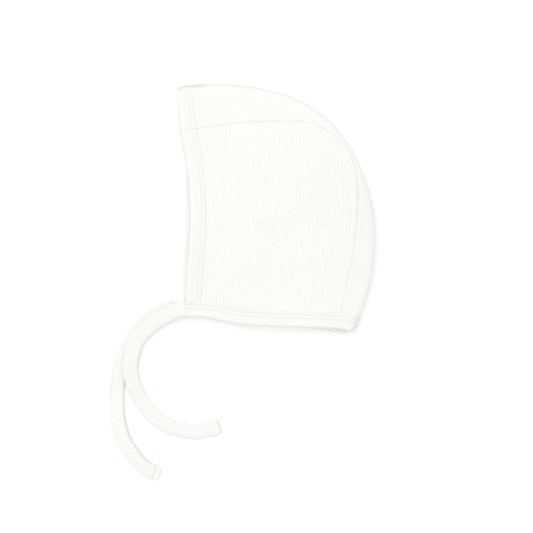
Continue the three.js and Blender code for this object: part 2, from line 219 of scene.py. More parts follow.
foldCurve = planCurve(crownShares["foldBack"], crownShares["foldUp"])
seamCurve = planCurve(crownShares["seamBack"], crownShares["seamUp"])
faceCurve = planCurve(edgeShares["faceBack"], edgeShares["faceUp"])
neckCurve = planCurve(edgeShares["neckBack"], edgeShares["neckUp"])
fineSteps = np.linspace(0, 1, 361)
foldLine = alongCurve(foldCurve, fineSteps)
seamLine = alongCurve(seamCurve, fineSteps)
faceLine = np.vstack([alongCurve(faceCurve, fineSteps), foldLine[:1]])
neckLine = np.vstack([alongCurve(neckCurve, fineSteps), foldLine[-1:]])
foldLength = curveLength(foldCurve)
frontCorner = faceCurve[0]
crownCorner = alongCurve(foldCurve, np.array(0.5))
bindingHalf = bonnet["cloth"] / 2 + bonnet["seatGap"] + bonnet["bindingLeg"]
clothInset = bonnet["bindingLeg"] + bonnet["seatGap"]

# The frame's origin is under the middle of the bonnet's box, so the plan moves to fit the frame.
originShift = np.array([
    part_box("crown_strip")[1].x - foldLine[:, 0].max() - bonnet["cloth"] / 2,
    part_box("crown_strip")[1].y - foldLine[:, 1].max() - bonnet["cloth"] / 2,
    0,
])


def insideEdges(x, y):
    # How far a place is inside the nearer of the face and neck edges.
    return np.minimum(x - valueOn(faceLine, 1, y, 0), y - valueOn(neckLine, 0, x, 1))


def layerLevels(x, y):
    # Heights of the middle of both layers' cloth away from the fold. Both are level at the bindings. Further
    # in the lower one settles on the surface, and the upper one rises towards the back of the crown. They
    # open away from the front corner, and the lower one's edge curls up into that opening.
    pastBinding = insideEdges(x, y) - bonnet["bindingWidth"] - bonnet["levelMargin"]
    lower = bonnet["cloth"] / 2 + clothInset * (1 - smooth(pastBinding / bonnet["settleRun"]))
    fromCorner = np.hypot(x - frontCorner[0], y - frontCorner[1]) / bonnet["cornerReach"]
    fromCrown = np.hypot(x - crownCorner[0], y - crownCorner[1]) / bonnet["crownRiseReach"]
    rise = bonnet["crownRise"] * np.exp(-0.5 * fromCrown**2) * smooth(pastBinding / bonnet["riseRun"])
    opened = (bonnet["edgeOpening"] - bonnet["cornerOpening"]) * smooth(fromCorner)
    upper = clothInset + bonnet["cloth"] / 2 + 2 * bindingHalf + bonnet["cornerOpening"] + opened + rise
    curl = bonnet["curl"] * (1 - ramp(x / bonnet["depth"], *bonnet["curlStop"]))
    lower = lower + curl * opened * (1 - smooth(insideEdges(x, y) / bonnet["curlRun"]))
    return lower, upper


def clothPoint(x, y, side, turn=None):
    # The middle of the cloth of the upper (1) or lower (-1) layer. turn goes from 0 at the fold to 1 where
    # the cloth is flat. The lower layer lies forward of the upper one at the face and below it at the nape.
    fromFold = nearestOnLine(foldLine, x, y)[0]
    lower, upper = layerLevels(x, y)
    if turn is None:
        square = bonnet["foldSquareness"]
        turn = (1 - (1 - np.minimum(fromFold / bonnet["foldReach"], 1)) ** square) ** (1 / square)
    z = (upper + lower) / 2 + side * turn * (upper - lower) / 2
    isLower = np.asarray(side) < 0
    back = x / bonnet["depth"] + 0.5
    up = y / bonnet["height"] + 0.5
    lag = bonnet["cornerLag"] + (1 - bonnet["cornerLag"]) * ramp(up, *bonnet["cornerLagEnd"])
    lag = lag - bonnet["browCatch"] * ramp(up, *bonnet["browCatchStart"])
    forward = bonnet["faceLag"] * lag * smooth(1 - back) * smooth(fromFold / bonnet["faceLagRun"]) * isLower
    down = bonnet["neckLag"] * smooth(1 - up) * ramp(back, *bonnet["neckLagStart"])
    down = down * smooth(fromFold / bonnet["neckLagRun"]) * isLower
    brow = bonnet["browRise"] * near(back - bonnet["browMiddle"], bonnet["browReach"])
    brow = brow * smooth(1 - fromFold / bonnet["browRun"])
    return np.stack([x - forward, y - down + brow, z], axis=-1)


def crownPoint(along, sweep, trim, turnShare=0.5):
    # A section across the strip: sweep 1 is the upper seam, 0 the fold and -1 the lower seam. Its fold is a
    # squarish half round up to turnShare of the sweep, and it is flat from there to the seam.
    fold = alongCurve(foldCurve, along)
    across = alongCurve(seamCurve, along) - fold
    width = np.linalg.norm(across, axis=-1) - trim
    reach, square = bonnet["foldReach"], bonnet["foldSquareness"]
    roundPart = np.minimum(reach, width)
    angle = np.arccos((1 - roundPart / reach) ** (square / 2)) * np.minimum(np.abs(sweep) / turnShare, 1)
    flatShare = np.maximum((np.abs(sweep) - turnShare) / (1 - turnShare), 0)
    distance = reach * (1 - np.cos(angle) ** (2 / square)) + flatShare * (width - roundPart)
    place = fold + unit(across) * distance[..., None]
    side = np.where(sweep < 0, -1, 1)
    return clothPoint(place[..., 0], place[..., 1], side, np.sin(angle) ** (2 / square))


def edgePlace(edge, share, inward):
    # A place in from a bound edge: up the upper layer, round the fold and back along the lower layer, each
    # of them a third of the share.
    share, inward = np.broadcast_arrays(share, inward)
    out = np.empty(share.shape + (3,))
    crown = (share >= 1 / 3) & (share <= 2 / 3)
    along = np.abs(edge["crownEnd"] - inward[crown] / foldLength)
    out[crown] = crownPoint(along, 3 - 6 * share[crown], 0)
    for side, part in ((1, share < 1 / 3), (-1, share > 2 / 3)):
        onCurve = edge["from"] + (1 - edge["from"]) * 3 * np.minimum(share[part], 1 - share[part])
        place = alongCurve(edge["curve"], onCurve)
        ahead = alongCurve(edge["curve"], onCurve + nudge) - alongCurve(edge["curve"], onCurve - nudge)
        ahead = unit(ahead)
        turn = 1 if edge["crownEnd"] == 0 else -1
        x = place[:, 0] + turn * ahead[:, 1] * inward[part]
        y = place[:, 1] - turn * ahead[:, 0] * inward[part]
        out[part] = clothPoint(x, y, side)
    return out


def ridge(u):
    # The height of a rib over its valley, 0 to 1, with its top on whole numbers.
    return (0.5 + 0.5 * np.cos(2 * np.pi * u)) ** knit["ribFullness"]


def closedSkin(name, rings, uv, pieces=1, **shades):
    # A closed surface through rings of points, with a flat cap at each end. pieces of them lie one after
    # another. shades are values from 0 to 1 for each point of painted shade and light: painted shade at an
    # outline of the cloth and along seams and grooves, and painted light where it faces the gap between the
    # layers.
    perPiece = rings.shape[0] // pieces
    n = rings.shape[1]
    i, j = np.meshgrid(np.arange(perPiece - 1), np.arange(n), indexing="ij")
    quads = np.stack([i * n + j, i * n + (j + 1) % n, (i + 1) * n + (j + 1) % n, (i + 1) * n + j], axis=-1)
    starts = np.arange(pieces) * perPiece * n
    quads = (starts[:, None, None] + quads.reshape(1, -1, 4)).reshape(-1, 4)
    caps = starts[:, None, None] + np.stack([np.arange(n)[::-1], (perPiece - 1) * n + np.arange(n)])[None]
    caps = caps.reshape(-1, n)
    points = rings.reshape(-1, 3)
    corners = points[quads]
    volume = np.einsum("ij,ij->i", corners[:, 0], np.cross(corners[:, 1], corners[:, 2])).sum()
    volume += np.einsum("ij,ij->i", corners[:, 0], np.cross(corners[:, 2], corners[:, 3])).sum()
    if volume < 0:
        quads, caps = quads[:, ::-1], caps[:, ::-1]
    loops = np.concatenate([quads.ravel(), caps.ravel()])
    sizes = np.concatenate([np.full(len(quads), 4), np.full(len(caps), n)])
    mesh = bpy.data.meshes.new(name)
    mesh.vertices.add(len(points))
    mesh.vertices.foreach_set("co", (points + originShift).ravel())
    mesh.loops.add(len(loops))
    mesh.loops.foreach_set("vertex_index", loops)
    mesh.polygons.add(len(sizes))
    mesh.polygons.foreach_set("loop_start", np.concatenate([[0], np.cumsum(sizes)[:-1]]))
    mesh.polygons.foreach_set("use_smooth", sizes == 4)  # the caps stay flat
    mesh.update(calc_edges=True)
    layer = mesh.uv_layers.new(name="Knit")
    layer.data.foreach_set("uv", uv.reshape(-1, 2)[loops].ravel())
    for shade, values in shades.items():
        mesh.attributes.new(shade.capitalize(), "FLOAT", "POINT").data.foreach_set("value", values.ravel())
    mesh.validate()
    piece = bpy.data.objects.new(name, mesh)
    bpy.context.scene.collection.objects.link(piece)
    print(name, len(quads) * 2, "triangles")
    return piece


def ribbedCloth(name, middle, out, u, v, ribHeight, edge, lift, rim):
    # Both faces of the cloth about its middle. The ribs of one face stand over the valleys of the other, edge
    # is the share of the thickness that is left next to a seam, and lift is how far both are off their level.
    outer = bonnet["cloth"] / 2 - ribHeight * (1 - ridge(u))
    inner = -bonnet["cloth"] / 2 + ribHeight * (1 - ridge(u + 0.5))
    outer = middle + out * (outer * edge + lift)[..., None]
    inner = middle + out * (inner * edge + lift)[..., None]
    outer[..., 2] = np.maximum(outer[..., 2], hairGap)
    rings = np.concatenate([outer, inner[:, ::-1]], axis=1)
    bothU = np.concatenate([u, u[:, ::-1] + 0.5], axis=1)
    bothV = np.concatenate([v, v[:, ::-1]], axis=1)
    # Painted shade on both faces.
    bothRimShade = np.concatenate([rim, rim[:, ::-1]], axis=1)
    return closedSkin(name, rings, np.stack([bothU, bothV], axis=-1), rim=bothRimShade)


def finishPiece(piece, material, nodes=()):
    piece.data.materials.append(material)
    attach(piece, "root")
    if nodes:
        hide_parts(*nodes)
    return piece


# Camera, straight above as in the photo, which is 533 pixels wide at 0.7 mm each. The middle of the bonnet
# is at pixel 275.5, 209. A long lens keeps the raised crown from leaning outwards.
view = {
    "pixels": 533,
    "pixel": 0.7 * mm,
    "bonnetPixel": (275.5, 209),
    "lens": 180,
    "sensor": 36,
    "level": 8 * mm,  # the height at which a pixel has that size
    "clipEnd": 20,
}
field = view["pixels"] * view["pixel"]
cameraPlace = originShift + np.array([
    (view["pixels"] / 2 - view["bonnetPixel"][0]) * view["pixel"],
    (view["bonnetPixel"][1] - view["pixels"] / 2) * view["pixel"],
    field * view["lens"] / view["sensor"] + view["level"],
])
cameraData = bpy.data.cameras.new("photo_camera")
cameraData.lens = view["lens"]
cameraData.sensor_width = view["sensor"]
cameraData.clip_end = view["clipEnd"]
camera = bpy.data.objects.new("photo_camera", cameraData)
camera.location = cameraPlace
bpy.context.scene.collection.objects.link(camera)
bpy.context.scene.camera = camera
print("camera set", [round(float(v), 4) for v in cameraPlace])


# Materials
loopLook = {
    "slant": 1.5,  # how steeply the legs of each V run up to the valleys
    "waveHeight": 0.3,
    "level": 0.6,
    "parting": 9,  # more narrows the line where the two legs part
    "partingBlend": 0.5,
    "sideFade": 1.6,  # the loops flatten towards the valleys
    "fuzz": 0.15,
    "fuzzScale": 3200,
    "fuzzDetail": 3,
    "valleyShadePower": 3,  # more makes the painted shade lines in the valleys narrower
    "toneScale": 45,
    "toneDetail": 4,
    "toneRange": 0.06,
    "bumpStrength": 0.8,
}
cottonLook = {
    "Roughness": 0.95,
    "Specular IOR Level": 0.2,
    "Subsurface Weight": 0.3,
    "Subsurface Radius": (1, 0.95, 0.8),
    "Subsurface Scale": 0.7 * mm,
    "Sheen Weight": 0.15,
    "Sheen Roughness": 0.6,
}
threadLook = {"Base Color": (0.74, 0.73, 0.675, 1), "Roughness": 0.6, "Sheen Weight": 0.1}
threadTwist = {"scale": 6, "depth": 0.04 * mm}
# For each knit its colour, how light it is, how much painted shade its valleys get, how deep its loops are
# and, for the bindings, the colour of the painted light on the inside.
knitLooks = {
    "panel": {"colour": "ivory", "light": 0.99, "valleyShadeShare": 0.6, "loopDepth": 0.09 * mm},
    "crown": {"colour": "ivory", "light": 0.95, "valleyShadeShare": 0.14, "loopDepth": 0.05 * mm},
    "face": {"colour": "warmIvory", "light": 0.965, "valleyShadeShare": 0.2, "loopDepth": 0.06 * mm},
    "neck": {"colour": "neckIvory", "light": 0.965, "valleyShadeShare": 0.2, "loopDepth": 0.06 * mm},
    "tie": {"colour": "ivory", "light": 0.95, "valleyShadeShare": 0.2, "loopDepth": 0.06 * mm},
}
knitLooks["face"]["inside"] = "faceInsideGlow"
knitLooks["neck"]["inside"] = "neckInsideGlow"


def link(tree, start, end):
    tree.links.new(start, end)


def mathNode(tree, operation, a, b=None, c=None):
    node = tree.nodes.new("ShaderNodeMath")
    node.operation = operation
    for socket, value in zip(node.inputs, (a, b, c)):
        if value is None:
            continue
        if isinstance(value, (int, float)):
            socket.default_value = value
        else:
            link(tree, value, socket)
    return node.outputs[0]


def noiseNode(tree, vector, scale, detail):
    node = tree.nodes.new("ShaderNodeTexNoise")
    node.inputs["Scale"].default_value = scale
    node.inputs["Detail"].default_value = detail
    link(tree, vector, node.inputs["Vector"])
    return node.outputs[0]


def knitGroup():
    # Knit stitches on a UV map that counts ribs one way and courses the other: each rib is a chain of V
    # shapes, whose height is a wave along the rib, pushed back to both sides, and whose two legs part at the
    # rib's middle. Place is where fuzz and tone are taken from.
    group = bpy.data.node_groups.new("knit_stitches", "ShaderNodeTree")
    for name in ("Map", "Place"):
        group.interface.new_socket(name, in_out="INPUT", socket_type="NodeSocketVector")
    for name in ("Height", "ValleyShade", "Tone"):
        group.interface.new_socket(name, in_out="OUTPUT", socket_type="NodeSocketFloat")
    into = group.nodes.new("NodeGroupInput")
    out = group.nodes.new("NodeGroupOutput")
    parts = group.nodes.new("ShaderNodeSeparateXYZ")
    link(group, into.outputs["Map"], parts.inputs[0])
    fromTop = mathNode(group, "PINGPONG", parts.outputs[0], 0.5)  # 0 on a rib's top, 0.5 in a valley
    pushed = mathNode(group, "MULTIPLY", fromTop, loopLook["slant"])
    pushed = mathNode(group, "ADD", parts.outputs[1], pushed)
    wave = mathNode(group, "COSINE", mathNode(group, "MULTIPLY", pushed, 2 * np.pi))
    legs = mathNode(group, "MULTIPLY", fromTop, loopLook["parting"])
    legs = mathNode(group, "SMOOTH_MIN", legs, 1, loopLook["partingBlend"])
    shown = mathNode(group, "SUBTRACT", 1, mathNode(group, "MULTIPLY", fromTop, loopLook["sideFade"]))
    stitches = mathNode(group, "MULTIPLY_ADD", wave, loopLook["waveHeight"], loopLook["level"])
    stitches = mathNode(group, "MULTIPLY", stitches, legs)
    stitches = mathNode(group, "MULTIPLY", stitches, shown)
    fuzz = noiseNode(group, into.outputs["Place"], loopLook["fuzzScale"], loopLook["fuzzDetail"])
    height = mathNode(group, "MULTIPLY_ADD", fuzz, loopLook["fuzz"], stitches)
    link(group, height, out.inputs["Height"])
    # A mask for painted shade in the rib valleys.
    valleyShade = mathNode(group, "POWER", mathNode(group, "MULTIPLY", fromTop, 2), loopLook["valleyShadePower"])
    link(group, valleyShade, out.inputs["ValleyShade"])
    tone = noiseNode(group, into.outputs["Place"], loopLook["toneScale"], loopLook["toneDetail"])
    link(group, tone, out.inputs["Tone"])
    return group


knitStitches = knitGroup()


def mixedTo(tree, factor, base, colour):
    mixed = tree.nodes.new("ShaderNodeMix")
    mixed.data_type = "RGBA"
    mixed.inputs["B"].default_value = colour
    link(tree, factor, mixed.inputs["Factor"])
    if isinstance(base, tuple):
        mixed.inputs["A"].default_value = base
    else:
        link(tree, base, mixed.inputs["A"])
    return mixed.outputs["Result"]


def attributeNode(tree, name):
    node = tree.nodes.new("ShaderNodeAttribute")
    node.attribute_name = name
    return node.outputs["Fac"]


def uvNode(tree):
    node = tree.nodes.new("ShaderNodeUVMap")
    node.uv_map = "Knit"
    return node.outputs[0]


def bumpNode(tree, height, distance, strength):
    node = tree.nodes.new("ShaderNodeBump")
    node.inputs["Distance"].default_value = distance
    node.inputs["Strength"].default_value = strength
    link(tree, height, node.inputs["Height"])
    return node.outputs[0]


def newMaterial(name, look):
    # A material whose shader's own sockets have the values of the look.
    material = bpy.data.materials.new(name)
    material.use_nodes = True
    shader = material.node_tree.nodes["Principled BSDF"]
    for socket, value in look.items():
        shader.inputs[socket].default_value = value
    return material, material.node_tree, shader


def knitMaterial(name, colour, light, valleyShadeShare, loopDepth, inside=None):
    material, tree, shader = newMaterial(name, cottonLook)
    place = tree.nodes.new("ShaderNodeTexCoord")
    stitches = tree.nodes.new("ShaderNodeGroup")
    stitches.node_tree = knitStitches
    link(tree, uvNode(tree), stitches.inputs["Map"])
    link(tree, place.outputs["Object"], stitches.inputs["Place"])
    # Painted shade in the rib valleys and at outlines, seams and grooves, and painted light where a binding
    # faces the gap between the layers.
    inValleyShade = mathNode(tree, "MULTIPLY", stitches.outputs["ValleyShade"], valleyShadeShare)
    shown = mixedTo(tree, inValleyShade, knit[colour], knit["valleyShade"])
    shown = mixedTo(tree, attributeNode(tree, "Rim"), shown, knit["rim"])
    if inside:
        shown = mixedTo(tree, attributeNode(tree, "Inside"), shown, knit[inside])
    toneRange = loopLook["toneRange"]
    brightness = mathNode(tree, "MULTIPLY_ADD", stitches.outputs["Tone"], toneRange, light - toneRange / 2)
    toned = tree.nodes.new("ShaderNodeHueSaturation")
    link(tree, brightness, toned.inputs["Value"])
    link(tree, shown, toned.inputs["Color"])
    link(tree, toned.outputs[0], shader.inputs["Base Color"])
    bumped = bumpNode(tree, stitches.outputs["Height"], loopDepth, loopLook["bumpStrength"])
    link(tree, bumped, shader.inputs["Normal"])
    return material


def threadMaterial():
    material, tree, shader = newMaterial("sewing_thread", threadLook)
    twist = tree.nodes.new("ShaderNodeTexWave")  # the twist of the plies
    twist.bands_direction = "DIAGONAL"
    twist.inputs["Scale"].default_value = threadTwist["scale"]
    link(tree, uvNode(tree), twist.inputs["Vector"])
    link(tree, bumpNode(tree, twist.outputs["Fac"], threadTwist["depth"], 1), shader.inputs["Normal"])
    return material


knits = {name: knitMaterial("rib_knit_" + name, **look) for name, look in knitLooks.items()}
thread = threadMaterial()
print("materials made:", ", ".join(knits), "and thread")


# Ties: flat folded strips, their ribs across them. A row of a route is a point of the middle line, from the
# middle of the neck binding's end in plan and from the surface in height, and the turn about the line in
# degrees.
tie = {
    "width": 10.8 * mm,
    "thickness": 2.6 * mm,
    "perRib": 8,
    "around": 40,
    "fineSteps": 4000,
    "sidePower": 0.45,  # less is a squarer section
    "facePower": 0.8,
    "trim": 0.1 * mm,  # its sides are this far inside the width between two ribs
    "sideRib": 0.05 * mm,
    "ribHeight": 0.08 * mm,
    "wander": 0.12 * mm,
    "wanderLengths": (12 * mm, 34 * mm),
    "drawnInRun": 30 * mm,
    "rows": [-3.7 * mm, -0.4 * mm],  # stitch rows, from the middle of the width
    "rowDepth": 0.28 * mm,
    "rowReach": 0.5 * mm,
    "hemReach": 0.6 * mm,
    "hemSpan": 0.36,  # the hem's stitches run this share of the width to both sides
    "hemSteps": 30,
    "deepest": 0.6,  # of the half thickness
    "endRound": 1.1 * mm,
    "endLeast": 0.02**0.5,
    "endNarrower": 0.4 * mm,
    # painted shade along the sides, at the end and at the hem, and how far it reaches
    "sideShade": 0.7,
    "rimReach": 0.5 * mm,
    "endShadeReach": 0.9 * mm,
    "hemShadeReach": 0.45 * mm,
    "shadedFrom": (0.5, 0.2),  # the stretch of the side with painted shadow, in shares of the length: start and run,
    "shadedTo": (0.98, 0.05),  # and end and run
    "shadedWider": 0.8 * mm,
    "shadedReach": 0.6 * mm,
    "overTo": (0.5, 0.1),  # the upper tie lies over the lower one up to here
}
# How each tie differs: how much narrower it has drawn in, how round its end corners are, how far from its end
# the hem is stitched, how much painted shade the hem and the end get, whether the right side of its far half
# is wider and has a painted shadow, and how much of the painted shade on its other side's edge goes where it
# lies over the other tie.
tieEnds = {
    "tie_left": {
        "narrower": 0.05 * mm,
        "corner": 0.6 * mm,
        "hem": 7.2 * mm,
        "hemDepth": 0.22 * mm,
        "hemShade": 0.12,
        "endShade": 1,
        "shaded": 0,
        "overOther": 0.9,
    },
    "tie_right": {
        "narrower": 0.25 * mm,
        "corner": 2.2 * mm,
        "hem": 4.4 * mm,
        "hemDepth": 0.5 * mm,
        "hemShade": 0.7,
        "endShade": 0.4,
        "shaded": 1,
        "overOther": 0,
    },
}
onSurface = tie["thickness"] / 2
onOtherTie = tie["thickness"] * 1.5 + bonnet["seatGap"]
startLevel = bonnet["cloth"] / 2 + clothInset
cornerLoft = 2 * bindingHalf + bonnet["cornerOpening"]
leftTieRoute = np.array([
    (0, 0, startLevel + cornerLoft, 0),
    (-0.0088, -0.0023, 0.0054, 0),
    (-0.0184, -0.0072, onOtherTie, 0),
    (-0.0252, -0.0123, onOtherTie, 0),
    (-0.0308, -0.0179, onOtherTie, 0),
    (-0.0351, -0.0251, onOtherTie, 0),
    (-0.0378, -0.0345, onOtherTie, -3),
    (-0.0383, -0.0428, onOtherTie, -9),
    (-0.0363, -0.0522, 0.0039, -9),
    (-0.0324, -0.0611, 0.0020, 0),
    (-0.0258, -0.0709, onSurface, 0),
    (-0.0179, -0.0783, onSurface, 0),
    (-0.0073, -0.0836, onSurface, 0),
    (0.0041, -0.0857, onSurface, 0),
    (0.0138, -0.0852, onSurface, 0),
    (0.0246, -0.0819, onSurface, 0),
])
rightTieRoute = np.array([
    (0, 0, startLevel, 0),
    (-0.0101, 0.0004, 0.0015, 0),
    (-0.0177, -0.0027, onSurface, 0),
    (-0.0238, -0.0071, onSurface, 0),
    (-0.0292, -0.0121, onSurface, 0),
    (-0.0341, -0.0185, onSurface, 0),
    (-0.0379, -0.0259, onSurface, 0),
    (-0.0415, -0.0336, onSurface, 0),
    (-0.0441, -0.0418, onSurface, 0),
    (-0.0459, -0.0502, onSurface, 0),
    (-0.0467, -0.0587, onSurface, 3),
    (-0.0469, -0.0672, onSurface, 8),
    (-0.0464, -0.0765, onSurface, 11),
    (-0.0448, -0.0846, onSurface, 12),
    (-0.0420, -0.0918, onSurface, 12),
    (-0.0375, -0.0992, onSurface, 12),
    (-0.0321, -0.1068, onSurface, 11),
    (-0.0256, -0.1123, onSurface, 6),
    (-0.0161, -0.1160, onSurface, 0),
])


def tieLine(route, side):
    # The middle line from the binding's end, sampled evenly, with the directions across and off the tie.
    end = clothPoint(frontCorner[0], frontCorner[1] + bonnet["bindingWidth"] / 2, side)
    leaving = -unit(alongCurve(neckCurve, np.array(nudge)) - alongCurve(neckCurve, np.array(0.0)))
    start = np.append(end[:2] + leaving * bonnet["seatGap"], 0)
    points = route[:, :3] + start
    bend = start + np.append(leaving * tie["width"] / 3, route[0, 2])
    upwards = np.array([leaving[1], -leaving[0]])
    atBinding = end[:2] + (upwards - [0, 1]) * bonnet["bindingWidth"] / 2 + leaving * hairGap
    points = np.vstack([np.append(atBinding, route[0, 2]), bend, points[1:]])
    rolls = np.append(route[0, 3], route[:, 3])
    fine = np.linspace(0, 1, tie["fineSteps"])
    line = alongCurve(points, fine)
    line[:, 2] = np.maximum(line[:, 2], onSurface)
    run = runOf(line)
    count = int(run[-1] / knit["ribPitch"] * tie["perRib"])
    at = np.interp(np.linspace(0, run[-1], count), run, fine)
    line = alongCurve(points, at)
    turn = np.radians(alongCurve(rolls[:, None], at)[:, 0])
    line[:, 2] = np.maximum(line[:, 2], onSurface + np.abs(np.sin(turn)) * tie["width"] / 2)
    ahead = unit(np.gradient(line, axis=0))
    across = unit(np.cross([0, 0, 1.0], ahead))
    off = np.cross(ahead, across)
    turned = across * np.cos(turn)[:, None] + off * np.sin(turn)[:, None]
    off = np.cross(ahead, turned)
    return line, turned, off, run[-1]


def tiePiece(name, route, side, seed, end):
    # A flat rounded section: its width and thickness swell on each rib, sink along the stitch rows and the
    # hem, and round off at the far end.
    line, across, off, length = tieLine(route, side)
    along = np.linspace(0, length, len(line))[:, None]
    share = along / length
    left = length - along
    angle = (np.arange(tie["around"]) + 0.5) / tie["around"] * 2 * np.pi
    rightSide, leftSide = np.cos(angle) > 0, np.cos(angle) < 0
    wobble = waves(seed, *tie["wanderLengths"])(along, 0)
    ribs = ridge(along / knit["ribPitch"])
    ending = np.maximum(quarterRound(left, tie["endRound"]), tie["endLeast"])
    corner = end["corner"] * (1 - quarterRound(left, end["corner"]))
    shadedEnd, shadedEndRun = tie["shadedTo"]
    shaded = end["shaded"] * ramp(share, *tie["shadedFrom"]) * smooth((shadedEnd - share) / shadedEndRun)
    shaded = shaded * rightSide
    half = tie["width"] / 2 - tie["trim"] + tie["sideRib"] * ribs + tie["wander"] * wobble
    half = half - end["narrower"] * smooth(along / tie["drawnInRun"])
    half = half - corner - tie["endNarrower"] * (1 - ending) + tie["shadedWider"] * shaded
    thick = (tie["thickness"] / 2 - tie["ribHeight"] * (1 - ribs)) * ending
    x = squared(np.cos(angle), tie["sidePower"]) * half
    z = squared(np.sin(angle), tie["facePower"]) * thick
    rows = sum(near(x - row, tie["rowReach"]) for row in tie["rows"])
    hem = near(left - end["hem"], tie["hemReach"]) * end["hemDepth"]
    z = z - np.sign(z) * np.minimum(rows * tie["rowDepth"] + hem, np.abs(z) * tie["deepest"])
    rings = line[:, None] + across[:, None] * x[..., None] + off[:, None] * z[..., None]
    rings[..., 2] = np.maximum(rings[..., 2], hairGap)
    uv = np.stack(np.broadcast_arrays(along / knit["ribPitch"], x / knit["coursePitch"]), axis=-1)
    # Painted shade along its sides, at its end and hem, and a painted shadow along the shaded side; less of
    # it on the side that lies over the other tie.
    overEnd, overEndRun = tie["overTo"]
    overOther = end["overOther"] * smooth((overEnd - share) / overEndRun) * leftSide
    rim = np.maximum(tie["sideShade"], shaded) * (1 - overOther)
    rim = rim * near(np.abs(x) - half, tie["rimReach"] + tie["shadedReach"] * shaded)
    rim = np.maximum(rim, end["endShade"] * near(left, tie["endShadeReach"]))
    rim = np.maximum(rim, end["hemShade"] * near(left - end["hem"], tie["hemShadeReach"]))
    return closedSkin(name, rings, uv, rim=rim), line, across, off, length


# Stitches: short lengths of thread that arch over the cloth and dive into it at both ends.
stitch = {
    "length": 2.1 * mm,
    "pitch": 2.6 * mm,
    "first": 0.4,  # of the pitch, from the start of the row
    "radius": 0.17 * mm,
    "arch": 0.16 * mm,
    "leastBow": 0.04,  # keeps the thread's ends from closing to a point
    "turns": 4,  # of the plies on one stitch
    "sides": 6,
    "steps": 7,
}


def stitchRow(line, up):
    # Each stitch follows a stretch of the line, its radius and height a half wave along it.
    run = runOf(line)
    firsts = np.arange(stitch["pitch"] * stitch["first"], run[-1] - stitch["pitch"], stitch["pitch"])
    t = np.linspace(0, 1, stitch["steps"])
    at = firsts[:, None] + t * stitch["length"]
    place = np.stack([np.interp(at, run, line[:, k]) for k in range(3)], axis=-1)
    rise = unit(np.stack([np.interp(at, run, up[:, k]) for k in range(3)], axis=-1))
    ahead = unit(np.gradient(place, axis=1))
    beside = np.cross(rise, ahead)
    bow = np.sin(np.pi * t)[None, :, None]
    place = place + rise * (stitch["arch"] * bow)
    angle = (np.arange(stitch["sides"]) + 0.5) / stitch["sides"] * 2 * np.pi
    radius = stitch["radius"] * np.sqrt(np.maximum(bow, stitch["leastBow"]))[..., None]
    ring = beside[:, :, None] * np.cos(angle)[:, None] + rise[:, :, None] * np.sin(angle)[:, None]
    rings = place[:, :, None] + ring * radius
    uv = np.stack(np.broadcast_arrays(t[None, :, None] * stitch["turns"], angle / (2 * np.pi)), axis=-1)
    return rings, np.broadcast_to(uv, rings.shape[:3] + (2,))


def stitchPiece(name, rows):
    rings = np.concatenate([r for r, _ in rows])
    uv = np.concatenate([u for _, u in rows])
    sides = stitch["sides"]
    return closedSkin(name, rings.reshape(-1, sides, 3), uv.reshape(-1, sides, 2), rings.shape[0])


def threadLevel(depth):
    # Where a thread lies off the tie's middle, in a row that sinks by this depth.
    return tie["thickness"] / 2 - depth - tie["ribHeight"] / 2 - stitch["radius"]


for name, route, side, seed in (("tie_left", leftTieRoute, 1, 11), ("tie_right", rightTieRoute, -1, 12)):
    end = tieEnds[name]
    piece, line, across, off, length = tiePiece(name + "_knit", route, side, seed, end)
    finishPiece(piece, knits["tie"], [name])
    stop = int(len(line) * (1 - end["hem"] / length))
    rows = []
    for row in tie["rows"]:
        rowLine = line + across * row + off * threadLevel(tie["rowDepth"])
        rows.append(stitchRow(rowLine[:stop], off[:stop]))
    hemX = np.linspace(-tie["hemSpan"], tie["hemSpan"], tie["hemSteps"])[:, None] * tie["width"]
    hemLine = line[stop] + across[stop] * hemX + off[stop] * threadLevel(end["hemDepth"])
    rows.append(stitchRow(hemLine, np.broadcast_to(off[stop], hemLine.shape)))
    stitches = finishPiece(stitchPiece(name + "_stitches", rows), thread)
    print(name, "length", round(float(length), 4))


# Side panels: rib knit patches between the face edge, the neck edge and the seam. Columns follow the ribs.
panel = {
    "ribs": 66,
    "perRib": 7,
    "rows": 78,
    "nearEnd": [0, 0.0012, 0.0035, 0.007, 0.012, 0.018],  # closer rows at both ends of the ribs, as shares
    "firstRow": 0.026,
    "ribHeight": 0.38 * mm,
    "ribUneven": 0.15,
    "pressed": 0.5,  # the share of that height left beside the bindings
    "pressedRun": 2.5 * mm,
    "wander": 0.05,  # of a rib
    "wanderLengths": (14 * mm, 45 * mm),
    "sag": 0.28 * mm,
    "sagLengths": (24 * mm, 70 * mm),
    "sagRun": 8 * mm,
    "pucker": 0.16 * mm,  # beside the bindings
    "puckerLengths": (6 * mm, 11 * mm),
    "puckerRun": 1 * mm,
    "puckerReach": 5 * mm,
}
